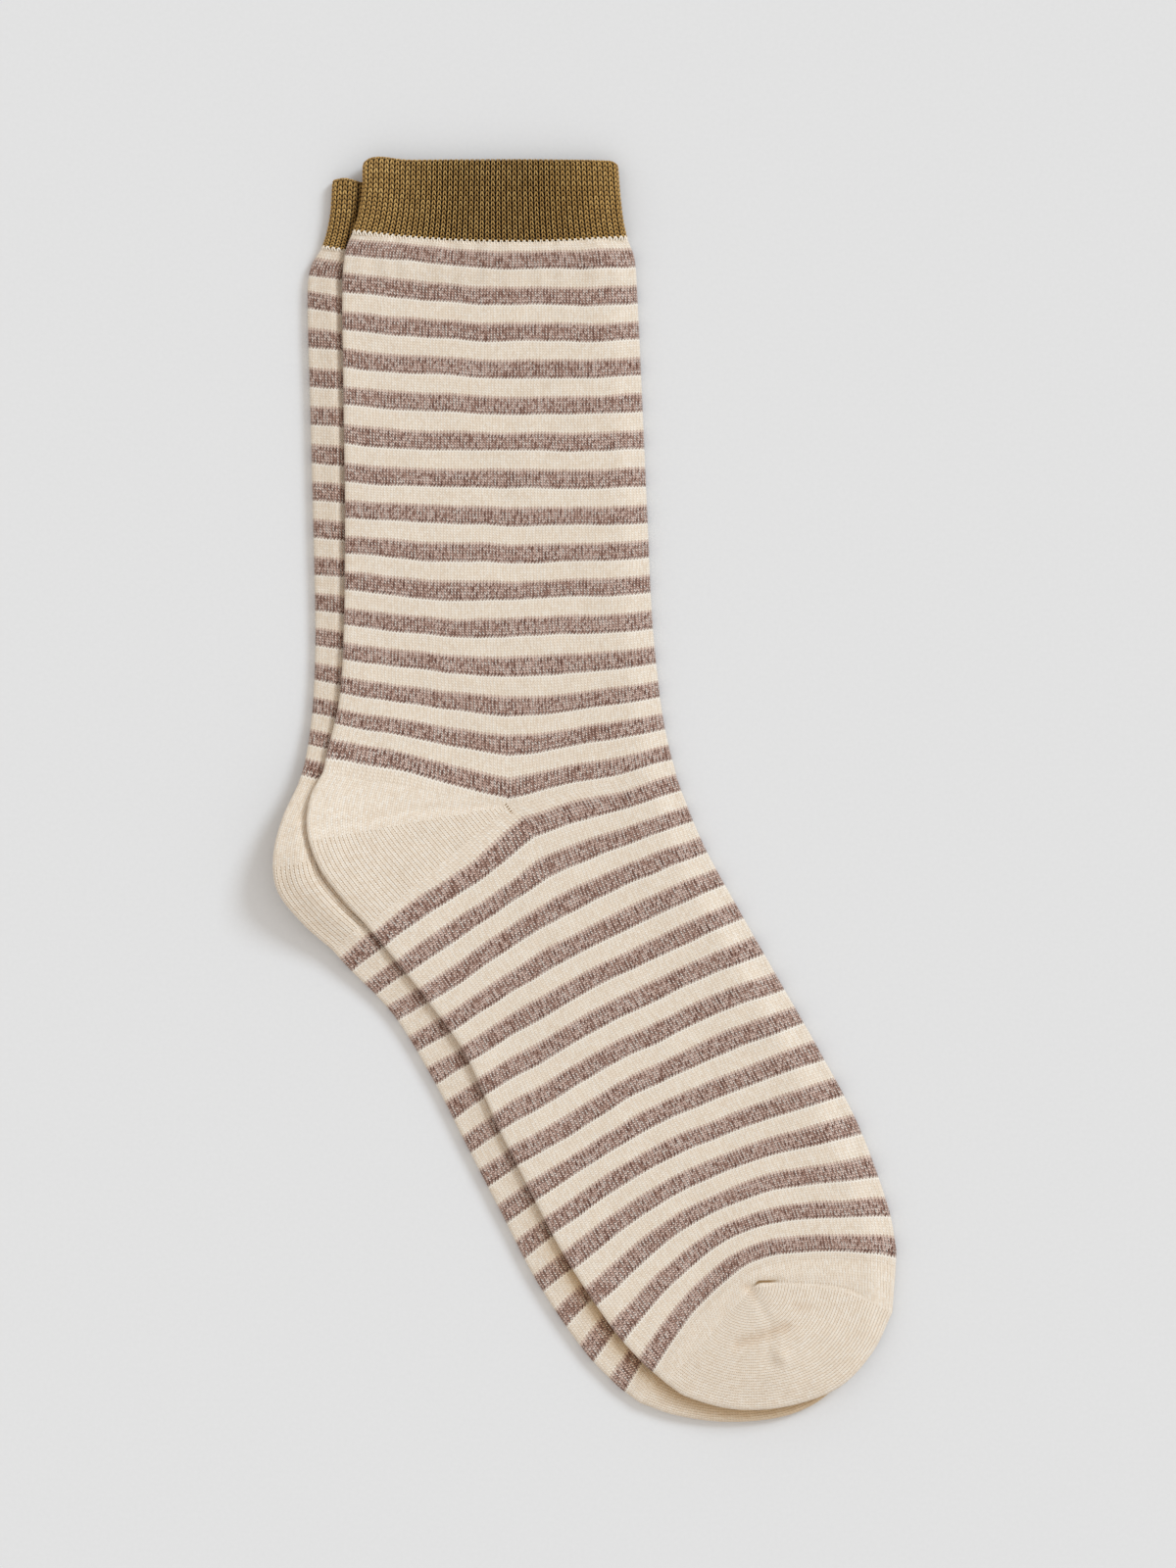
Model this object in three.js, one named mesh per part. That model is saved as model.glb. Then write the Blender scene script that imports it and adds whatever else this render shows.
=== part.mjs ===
// Pair of crew socks laid flat, one over the other. Units are mm, +Z is up and z = 0 is the table.
// +X runs towards the front edges of the legs, +Y runs towards the cuffs.
import * as THREE from 'three';

// Depths of one flattened sock, from its underside to its upper side.
const LEG_HALF_DEPTH = 1.4;
const LEG_WALL = 1.15;
const POCKET_WALL = 1.15;
const CUFF_HALF_DEPTH = 1.75;
const CUFF_WALL = 1.5;
const CUFF_LIP = 0.35;

// Seams and the space between the two socks.
const SEAM_GAP = 0.3;
const STACK_GAP = 0.4;
const APEX_CUT = 1.2;

// How the cloth lies: the heel that stands up, the slack in the pockets, the overhang that sinks.
const HEEL_LIFT = { x: -90, y: -20, height: 8, spread: 27 };
const TOE_SLACK = { height: 1.3, spread: 19 };
const HEEL_SLACK = { height: 0.9, spread: 20 };
const OVERHANG_DROP = 2.6;
const OVERHANG_REACH = 10;

// Sampling of the rings.
const FOLD_ANGLES = [30, 60, 90];
const SPANS_ACROSS = 8;
const CUFF_RINGS = 5;
const LEG_RINGS = 15;
const FOOT_RINGS = 17;
const HEEL_RINGS = 10;
const TOE_RINGS = 13;

// One row is one knitted course across the flattened tube: where it crosses the back or sole
// edge, the middle wale and the front or instep edge. "at" counts stripes along the tube.
// "kink" goes from an even arc (0) to a sharp bend at the middle wale (1). "bulge" rounds the
// front half.
function course(at, backX, backY, midX, midY, frontX, frontY, kink = 0, bulge = 0) {
  return { at, backX, backY, midX, midY, frontX, frontY, kink, bulge };
}

// One row is one place round the outside of a heel or toe pocket. "at" goes from its first
// course (0) to its last (1). "bulge" rounds that course.
function turn(at, edgeX, edgeY, bulge = 0) {
  return { at, edgeX, edgeY, bulge };
}

const UPPER = {
  cuff: [
    course(0, -65.1, 156.0, -26.5, 152.9, 12.1, 154.5),
    course(0.3, -63.4, 161.6, -26.5, 159.4, 10.9, 160.4),
    course(0.62, -62.4, 168.2, -26.5, 167.2, 10.1, 167.6),
    course(0.92, -62.3, 174.6, -26.4, 175.2, 9.6, 174.8),
    course(1, -61.6, 176.4, -26.4, 176.9, 9.2, 176.5),
  ],
  leg: [
    course(0.52, -65.1, 156.0, -26.5, 152.9, 12.1, 154.5),
    course(1, -66.8, 151.8, -26.5, 148.5, 14.0, 149.2),
    course(2, -67.9, 142.2, -26.5, 138.6, 14.8, 139.0),
    course(5, -67.6, 110.5, -26.0, 107.9, 16.2, 108.7),
    course(8, -67.2, 78.6, -25.0, 76.6, 17.6, 77.6),
    course(11, -67.4, 48.7, -24.0, 45.2, 19.0, 47.8, 0.3),
    course(13, -68.3, 29.6, -22.0, 23.1, 20.9, 28.4, 0.6),
    course(14, -69.6, 20.7, -21.5, 12.1, 22.2, 19.2, 0.8),
    course(15, -71.8, 12.0, -21.0, 0.4, 24.1, 10.4, 1),
    course(15.5, -73.2, 5.2, -21.0, -4.4, 25.2, 6.5, 1),
  ],
  foot: [
    course(0.5, -61.0, -38.1, -21.0, -4.4, 25.2, 6.5, 1),
    course(1, -57.8, -41.9, -15.7, -9.6, 26.3, 2.2, 1),
    course(3, -45.3, -57.5, -7.0, -32.5, 33.4, -15.4, 0.6),
    course(5, -33.7, -73.8, 2.9, -52.8, 43.3, -33.6, 0.2),
    course(7, -24.9, -93.2, 13.6, -70.9, 54.6, -53.4),
    course(9, -15.3, -112.5, 24.9, -88.8, 65.9, -73.2),
    course(11, -5.2, -131.5, 34.8, -106.4, 76.6, -93.5),
    course(13, 8.4, -151.8, 42.5, -122.4, 85.1, -116.6, 0.1),
    course(14, 16.6, -161.0, 45.8, -130.4, 87.4, -128.2, 0.15),
    course(14.27, 18.8, -162.9, 46.2, -133.1, 87.5, -131.6, 0.3, 1),
    course(14.85, 22.9, -166.4, 46.6, -139.7, 86.4, -146.8, 1, 4),
  ],
  heel: [
    turn(0, -73.2, 5.2),
    turn(0.16, -76.7, -1.9),
    turn(0.35, -77.6, -11.0),
    turn(0.58, -74.4, -21.3),
    turn(0.8, -68.1, -30.2),
    turn(1, -61.0, -38.1),
  ],
  toe: [
    turn(0, 22.9, -166.4),
    turn(0.1, 28.4, -170.0),
    turn(0.3, 42.2, -173.6),
    turn(0.51, 57.5, -172.6),
    turn(0.69, 71.6, -167.3, 0.5),
    turn(0.83, 80.6, -158.1, 1.5),
    turn(1, 86.4, -146.8, 4),
  ],
};

const LOWER = {
  cuff: [
    course(0, -73.9, 152.2, -35.6, 147.4, 3.0, 149.0),
    course(0.3, -72.5, 156.6, -35.6, 153.9, 1.8, 154.9),
    course(0.62, -71.4, 162.8, -35.6, 161.7, 1.0, 162.1),
    course(0.92, -71.0, 169.2, -35.5, 169.6, 0.5, 169.3),
    course(1, -70.2, 171.2, -35.5, 171.4, 0.1, 171.0),
  ],
  leg: [
    course(0.52, -73.9, 152.2, -35.6, 147.4, 3.0, 149.0),
    course(1, -76.9, 146.9, -35.6, 143.0, 4.9, 143.7),
    course(2, -77.8, 138.2, -35.6, 133.1, 5.7, 133.5),
    course(5, -77.0, 105.4, -35.1, 102.4, 6.8, 103.2),
    course(8, -76.2, 73.2, -34.1, 71.1, 8.5, 72.1),
    course(11, -75.6, 42.8, -33.1, 39.7, 9.9, 42.3, 0.3),
    course(13, -76.3, 23.8, -31.1, 17.6, 11.8, 22.9, 0.6),
    course(14, -77.3, 14.9, -30.6, 6.6, 13.1, 13.7, 0.8),
    course(15, -78.7, 6.8, -30.1, -5.1, 15.0, 4.9, 1),
    course(15.5, -80.3, 1.6, -30.1, -9.9, 16.1, 1.0, 1),
  ],
  foot: [
    course(0.5, -70.8, -44.9, -30.1, -9.9, 16.1, 1.0, 1),
    course(1, -67.1, -49.1, -24.8, -15.1, 17.2, -3.3, 1),
    course(3, -53.9, -62.9, -16.1, -38.0, 24.3, -20.9, 0.6),
    course(5, -43.0, -80.5, -6.2, -58.3, 34.2, -39.1, 0.2),
    course(7, -33.2, -99.7, 4.5, -76.4, 45.5, -58.9),
    course(9, -23.2, -119.2, 15.8, -94.3, 56.8, -78.7),
    course(11, -13.2, -138.4, 25.7, -111.9, 67.5, -99.0),
    course(13, 0.2, -158.0, 33.4, -127.9, 76.0, -122.1, 0.1),
    course(14, 9.0, -167.2, 36.7, -135.9, 78.3, -133.7, 0.15),
    course(14.27, 11.2, -169.0, 37.1, -138.6, 78.4, -137.1, 0.3, 1),
    course(14.85, 15.6, -172.2, 37.5, -145.2, 77.3, -152.3, 1, 4),
  ],
  heel: [
    turn(0, -80.3, 1.6),
    turn(0.17, -84.7, -8.2),
    turn(0.36, -87.1, -18.9),
    turn(0.56, -85.8, -28.6),
    turn(0.76, -78.9, -37.6),
    turn(1, -70.8, -44.9),
  ],
  toe: [
    turn(0, 15.6, -172.2),
    turn(0.16, 25.4, -175.6),
    turn(0.36, 39.2, -177.5),
    turn(0.59, 55.4, -176.1),
    turn(0.73, 66.2, -171.4, 0.5),
    turn(0.85, 73.0, -163.8, 1.5),
    turn(1, 77.3, -152.3, 4),
  ],
};

function smooth(from, to, value) {
  const t = Math.min(Math.max((value - from) / (to - from), 0), 1);
  return t * t * (3 - 2 * t);
}

// Reads one column of a table at any "at", along a curve that passes through every row.
function column(rows, key, at) {
  const last = rows.length - 1;
  let i = 0;
  while (i < last - 1 && at > rows[i + 1].at) i += 1;
  const slope = (a, b) => (rows[b][key] - rows[a][key]) / (rows[b].at - rows[a].at);
  const here = slope(i, i + 1);
  const start = i > 0 ? slope(i - 1, i + 1) : here;
  const end = i + 1 < last ? slope(i, i + 2) : here;
  const step = rows[i + 1].at - rows[i].at;
  const t = (at - rows[i].at) / step;
  const rise = rows[i + 1][key] - rows[i][key];
  return rows[i][key] + t * step * start
    + t * t * (3 * rise - step * (2 * start + end))
    + t * t * t * (step * (start + end) - 2 * rise);
}

// Place on the flattened tube: across = 0 at the back or sole edge, 1 at the front edge.
function onCourse(rows, at, across) {
  const read = (key) => column(rows, key, at);
  const back = new THREE.Vector2(read('backX'), read('backY'));
  const chord = new THREE.Vector2(read('frontX'), read('frontY')).sub(back);
  const mid = new THREE.Vector2(read('midX'), read('midY')).sub(back);
  const peak = mid.dot(chord) / chord.lengthSq();
  const bend = mid.clone().addScaledVector(chord, -peak);
  const along = across + 4 * (peak - 0.5) * across * (1 - across);
  const tent = along < peak ? along / peak : (1 - along) / (1 - peak);
  const arc = 4 * across * (1 - across);
  const kink = Math.min(Math.max(read('kink'), 0), 1);
  const front = Math.max((along - peak) / (1 - peak), 0);
  const reach = chord.clone().sub(mid);
  const side = new THREE.Vector2(-reach.y, reach.x).normalize();
  const bulge = Math.max(read('bulge'), 0);
  return back.addScaledVector(chord, along)
    .addScaledVector(bend, kink * tent + (1 - kink) * arc)
    .addScaledVector(side, bulge * 4 * front * (1 - front));
}

// Place on a flattened pocket: out = 0 at its apex, 1 at its outer edge.
function onTurn(rows, apex, at, out) {
  const edge = new THREE.Vector2(column(rows, 'edgeX', at), column(rows, 'edgeY', at));
  const ray = edge.sub(apex);
  const side = new THREE.Vector2(-ray.y, ray.x).normalize();
  const bulge = Math.max(column(rows, 'bulge', at), 0);
  return apex.clone().addScaledVector(ray, out).addScaledVector(side, bulge * 4 * out * (1 - out));
}

function apexOf(rows, index) {
  return new THREE.Vector2(rows[index].midX, rows[index].midY);
}

function heelApex(form) {
  return apexOf(form.leg, form.leg.length - 1);
}

function toeApex(form) {
  return apexOf(form.foot, form.foot.length - 1);
}

// Outline of a whole sock as seen from above, used to find how far the other one hangs over it.
function outline(form) {
  const points = [];
  const walk = (rows, keyX, keyY, count, backwards) => {
    for (let k = 0; k <= count; k += 1) {
      const t = backwards ? 1 - k / count : k / count;
      const at = rows[0].at + t * (rows[rows.length - 1].at - rows[0].at);
      points.push(new THREE.Vector2(column(rows, keyX, at), column(rows, keyY, at)));
    }
  };
  walk(form.cuff, 'backX', 'backY', 4, true);
  walk(form.leg, 'backX', 'backY', 14, false);
  walk(form.heel, 'edgeX', 'edgeY', 8, false);
  walk(form.foot, 'backX', 'backY', 14, false);
  walk(form.toe, 'edgeX', 'edgeY', 10, false);
  walk(form.foot, 'frontX', 'frontY', 14, true);
  walk(form.leg, 'frontX', 'frontY', 14, true);
  walk(form.cuff, 'frontX', 'frontY', 4, false);
  return points;
}

const LOWER_OUTLINE = outline(LOWER);

function overhang(x, y) {
  const place = new THREE.Vector2(x, y);
  let nearest = Infinity;
  let inside = false;
  LOWER_OUTLINE.forEach((a, i) => {
    const b = LOWER_OUTLINE[(i + 1) % LOWER_OUTLINE.length];
    const side = b.clone().sub(a);
    const length = Math.max(side.lengthSq(), 1e-9);
    const t = Math.min(Math.max(place.clone().sub(a).dot(side) / length, 0), 1);
    nearest = Math.min(nearest, place.distanceTo(a.clone().addScaledVector(side, t)));
    const crosses = (a.y > y) !== (b.y > y);
    if (crosses && x < a.x + ((y - a.y) / (b.y - a.y)) * side.x) inside = !inside;
  });
  return inside ? 0 : nearest;
}

function bump(x, y, centre, shape) {
  const far = Math.hypot(x - centre.x, y - centre.y) / shape.spread;
  return shape.height * Math.exp(-far * far);
}

// Slack cloth that stands up in the middle of the pockets.
function slack(form, x, y) {
  const toe = toeApex(form).add(new THREE.Vector2(13, -14));
  const heel = heelApex(form).add(new THREE.Vector2(-28, -8));
  return bump(x, y, toe, TOE_SLACK) + bump(x, y, heel, HEEL_SLACK);
}

// Height of a sock's underside at a place on the table.
function underside(form, x, y) {
  const lift = bump(x, y, HEEL_LIFT, HEEL_LIFT);
  if (form === LOWER) return lift;
  const stack = 2 * LEG_HALF_DEPTH + STACK_GAP;
  const cuffStep = 2 * (CUFF_HALF_DEPTH - LEG_HALF_DEPTH) * smooth(139, 146, y);
  const drop = OVERHANG_DROP * smooth(1, OVERHANG_REACH, overhang(x, y));
  return stack + cuffStep + slack(LOWER, x, y) + lift - drop;
}

// Puts one point of a section in space. "inset" is its distance from the fold, "level" its
// height over the middle of the sock.
function raise(form, plan, half, level, inset) {
  const rise = level > 0 ? slack(form, plan.x, plan.y) * smooth(0, 12, inset) : 0;
  return [plan.x, plan.y, underside(form, plan.x, plan.y) + half + level + rise];
}

// Distances from a fold and heights of the points that round it.
function foldPoints(half, wall) {
  return FOLD_ANGLES.map((angle) => {
    const turned = THREE.MathUtils.degToRad(angle);
    return { inset: wall + half * (1 - Math.cos(turned)), level: half * Math.sin(turned) };
  });
}

// Closed ring round a flattened tube. "wall" is 0 for the outside of the cloth.
function tubeRing(form, place, half, wall) {
  const depth = half - wall;
  const length = place(0).distanceTo(place(0.5)) + place(0.5).distanceTo(place(1));
  const fold = foldPoints(depth, wall);
  const first = fold[fold.length - 1].inset / length;
  const points = [];
  const add = (across, level) => {
    const inset = Math.min(across, 1 - across) * length;
    points.push(raise(form, place(across), half, level, inset));
  };
  [1, -1].forEach((side) => {
    const shift = (t) => (side > 0 ? t : 1 - t);
    add(shift(wall / length), 0);
    fold.forEach((p) => add(shift(p.inset / length), side * p.level));
    for (let k = 1; k < SPANS_ACROSS; k += 1) {
      add(shift(first + (1 - 2 * first) * (k / SPANS_ACROSS)), side * depth);
    }
    fold.slice().reverse().forEach((p) => add(shift(1 - p.inset / length), side * p.level));
  });
  return points;
}

// Open strip round a flattened pocket, from the apex on the upper side round the outer edge
// to the apex on the underside.
function pocketStrip(form, place, half, wall) {
  const depth = half - wall;
  const length = place(0).distanceTo(place(1));
  const fold = foldPoints(depth, wall);
  const last = 1 - fold[fold.length - 1].inset / length;
  const cut = APEX_CUT / length;
  const spans = SPANS_ACROSS / 2;
  const upper = [];
  for (let k = 0; k < spans; k += 1) {
    upper.push({ out: cut + (last - cut) * (k / spans), level: depth });
  }
  fold.slice().reverse().forEach((p) => upper.push({ out: 1 - p.inset / length, level: p.level }));
  const edge = [{ out: 1 - wall / length, level: 0 }];
  const under = upper.slice().reverse().map((p) => ({ out: p.out, level: -p.level }));
  return [...upper, ...edge, ...under].map((p) => (
    raise(form, place(p.out), half, p.level, (1 - p.out) * length)
  ));
}

// Joins rows of points into one surface. "close" joins the end of each row to its start.
function skin(triangles, rows, close) {
  for (let k = 0; k + 1 < rows.length; k += 1) {
    const count = rows[k].length;
    for (let i = 0; i < (close ? count : count - 1); i += 1) {
      const j = (i + 1) % count;
      triangles.push([rows[k][i], rows[k + 1][i], rows[k + 1][j]]);
      triangles.push([rows[k][i], rows[k + 1][j], rows[k][j]]);
    }
  }
}

function signedVolume(triangles) {
  return triangles.reduce((sum, [a, b, c]) => (
    sum + new THREE.Vector3(...a).dot(new THREE.Vector3(...b).cross(new THREE.Vector3(...c)))
  ), 0);
}

function clothMesh(name, material, triangles) {
  const outward = signedVolume(triangles) > 0;
  const flat = triangles.flatMap((face) => (outward ? face : face.slice().reverse())).flat();
  const geometry = new THREE.BufferGeometry();
  geometry.setAttribute('position', new THREE.Float32BufferAttribute(flat, 3));
  geometry.computeVertexNormals();
  const mesh = new THREE.Mesh(geometry, material);
  mesh.name = name;
  return mesh;
}

// Cloth wall of a tube, between its outer and inner rings, with a rim at each end.
function tube(name, material, outer, inner) {
  const triangles = [];
  skin(triangles, outer, true);
  skin(triangles, inner.map((ring) => ring.slice()).reverse(), true);
  skin(triangles, [inner[0], outer[0]], true);
  skin(triangles, [outer[outer.length - 1], inner[inner.length - 1]], true);
  return clothMesh(name, material, triangles);
}

// Cloth wall of a pocket, with an edge all round.
function pocket(name, material, outer, inner) {
  const loops = outer.map((row, k) => [...row, ...inner[k].slice().reverse()]);
  const triangles = [];
  skin(triangles, loops, true);
  const last = loops.length - 1;
  skin(triangles, [inner[0], outer[0]], false);
  skin(triangles, [outer[last], inner[last]], false);
  return clothMesh(name, material, triangles);
}

// Rings of a tube between its end courses, each end drawn back by half the seam gap.
function tubeRings(form, rows, count, half, wall) {
  const from = rows[0].at;
  const to = rows[rows.length - 1].at;
  const rings = [];
  for (let k = 0; k < count; k += 1) {
    const at = from + ((to - from) * k) / (count - 1);
    const inward = k === 0 ? 1 : -1;
    const drawn = k === 0 || k === count - 1 ? SEAM_GAP / 2 : 0;
    const place = (across) => {
      const here = onCourse(rows, at, across);
      if (!drawn) return here;
      const next = onCourse(rows, at + inward * 0.04 * (to - from), across);
      const beside = onCourse(rows, at, Math.min(across + 0.02, 1));
      beside.sub(onCourse(rows, at, Math.max(across - 0.02, 0))).normalize();
      const away = next.sub(here);
      away.addScaledVector(beside, -away.dot(beside)).normalize();
      return here.addScaledVector(away, drawn);
    };
    rings.push(tubeRing(form, place, half(k), wall(k)));
  }
  return rings;
}

function plainTube(form, rows, count, name, material) {
  const half = () => LEG_HALF_DEPTH;
  const outer = tubeRings(form, rows, count, half, () => 0);
  const inner = tubeRings(form, rows, count, half, () => LEG_WALL);
  return tube(name, material, outer, inner);
}

function pocketRows(form, rows, apex, count, wall) {
  const first = onTurn(rows, apex, 0, 1).sub(apex).normalize();
  const final = onTurn(rows, apex, 1, 1).sub(apex).normalize();
  const opening = Math.acos(first.dot(final));
  const centre = onTurn(rows, apex, 0.5, 1).sub(apex).normalize();
  const shifted = apex.clone().addScaledVector(centre, SEAM_GAP / 2 / Math.sin(opening / 2));
  const strips = [];
  for (let k = 0; k < count; k += 1) {
    const at = k / (count - 1);
    const lean = 1 - 2 * at;
    const place = (out) => {
      const spot = onTurn(rows, apex, at, out).sub(apex).add(shifted);
      return spot.addScaledVector(centre, -0.4 * out * (1 - lean * lean));
    };
    strips.push(pocketStrip(form, place, LEG_HALF_DEPTH, wall));
  }
  return strips;
}

function plainPocket(form, rows, apex, count, name, material) {
  const outer = pocketRows(form, rows, apex, count, 0);
  const inner = pocketRows(form, rows, apex, count, POCKET_WALL);
  return pocket(name, material, outer, inner);
}

// Turned cuff: the cloth is double and its top edge is a rounded fold.
function makeCuff(form, name, material) {
  const last = CUFF_RINGS;
  const rows = form.cuff;
  const half = (k) => CUFF_HALF_DEPTH - (k === last ? CUFF_LIP : 0);
  const wall = (k) => (k === last ? CUFF_WALL - 2 * CUFF_LIP : CUFF_WALL);
  const outer = tubeRings(form, rows, last + 1, half, () => 0);
  const inner = tubeRings(form, rows, last + 1, half, wall);
  return tube(name, material, outer, inner);
}

function makeLeg(form, name, material) {
  return plainTube(form, form.leg, LEG_RINGS, name, material);
}

function makeHeel(form, name, material) {
  return plainPocket(form, form.heel, heelApex(form), HEEL_RINGS, name, material);
}

function makeFoot(form, name, material) {
  return plainTube(form, form.foot, FOOT_RINGS, name, material);
}

function makeToe(form, name, material) {
  return plainPocket(form, form.toe, toeApex(form), TOE_RINGS, name, material);
}

function clothMaterial(name, colour) {
  return new THREE.MeshStandardMaterial({ name, color: colour, roughness: 0.9, metalness: 0 });
}

function makeSock(form, side) {
  const sock = new THREE.Group();
  sock.name = `${side}_sock`;
  sock.add(makeCuff(form, `${side}_cuff`, clothMaterial(`${side}_cuff_knit`, 0x7d6532)));
  sock.add(makeLeg(form, `${side}_leg`, clothMaterial(`${side}_leg_knit`, 0xc2b3a4)));
  sock.add(makeHeel(form, `${side}_heel`, clothMaterial(`${side}_heel_knit`, 0xe9dfcd)));
  sock.add(makeFoot(form, `${side}_foot`, clothMaterial(`${side}_foot_knit`, 0xc2b3a4)));
  sock.add(makeToe(form, `${side}_toe`, clothMaterial(`${side}_toe_knit`, 0xe9dfcd)));
  return sock;
}

function buildPair() {
  const pair = new THREE.Group();
  pair.name = 'pair_of_socks';
  pair.add(makeSock(UPPER, 'upper'));
  pair.add(makeSock(LOWER, 'lower'));
  return pair;
}

export default buildPair();
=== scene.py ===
import math

import bmesh
import bpy
import numpy as np
from mathutils import Matrix, Vector, noise


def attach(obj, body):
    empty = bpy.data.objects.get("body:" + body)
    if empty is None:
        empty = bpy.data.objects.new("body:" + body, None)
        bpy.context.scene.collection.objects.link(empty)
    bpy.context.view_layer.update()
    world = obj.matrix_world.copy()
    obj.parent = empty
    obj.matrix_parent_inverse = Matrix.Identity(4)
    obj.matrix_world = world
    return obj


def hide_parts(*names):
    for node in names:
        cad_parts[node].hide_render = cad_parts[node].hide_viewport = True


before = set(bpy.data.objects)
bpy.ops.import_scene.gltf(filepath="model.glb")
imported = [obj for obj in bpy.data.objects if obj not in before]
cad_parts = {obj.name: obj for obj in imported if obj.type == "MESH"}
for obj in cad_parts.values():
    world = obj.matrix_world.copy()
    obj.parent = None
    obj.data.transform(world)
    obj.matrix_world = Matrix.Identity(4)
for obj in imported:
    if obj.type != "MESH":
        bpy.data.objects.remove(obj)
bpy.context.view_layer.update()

MM = 0.001

# Lengths below are in millimetres until a point goes into a mesh. x runs towards the front
# edges of the legs, y towards the cuffs, and z = 0 is the surface that the pair lies on.

# The flattened sock and its cloth. A roll is how far in from its edge a fold is at full height.
LEG_HALF_DEPTH = 1.4
LEG_ROLL = 0.85
CUFF_HALF_DEPTH = 1.75
CUFF_ROLL = 1.2
CLOTH_WALL = 0.85
STACK_GAP = 0.4

# How the cloth lies: the heel that stands up, the slack in the pockets, the overhang that sinks.
HEEL_LIFT = {"x": -90, "y": -20, "height": 8, "spread": 27}
TOE_SLACK = {"height": 1.3, "spread": 19}
HEEL_SLACK = {"height": 0.9, "spread": 20}
OVERHANG_DROP = 2.6
OVERHANG_REACH = 10
# Reach of the painted shade on the lower sock beside the upper sock's edge.
PAINTED_SHADE_REACH = 3.9

# Knitting gauge.
WALES_PER_SIDE = 95
COURSES_PER_STRIPE = 14
BROWN_COURSES = 7
LAST_STRIPED_COURSE = 483
FOOT_FIRST_COURSE = 280
POCKET_COURSE = 0.74
TOE_COURSES = 84
CUFF_WALES = 100
CUFF_ROW = 1.33
CUFF_LIP = 0.7
LOOP_HEIGHT = 2.0

# One leg of a raised stitch: its rings, the sides of each, and how many rows it reaches up.
STRAND_RINGS = 4
STRAND_SIDES = 6
STITCH_REACH = 1.15

# Places along the striped tubes, counted in stripes: their ends, where the leg's first courses
# end, and where the foot's courses begin to fan out round the toe.
LEG_START, LEG_TOP_END, LEG_END = 0.47, 2.4, 15.5
FOOT_START, FOOT_FAN, FOOT_END = 0.5, 14.27, 14.85

# Where wales and courses start to count, so that no two stretches share a stitch. The pockets
# count down below zero.
FOOT_FIRST_WALE = 400
HEEL_COURSE = 2
HEEL_SECOND_COURSE = 302
TOE_COURSE = 602

COURSE = ("at", "back_x", "back_y", "mid_x", "mid_y", "front_x", "front_y", "kink", "bulge")
TURN = ("at", "edge_x", "edge_y", "bulge")


def table(columns, rows):
    """Named columns of a table, each as an array."""
    return {name: np.array([float(row[i]) for row in rows]) for i, name in enumerate(columns)}


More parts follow.
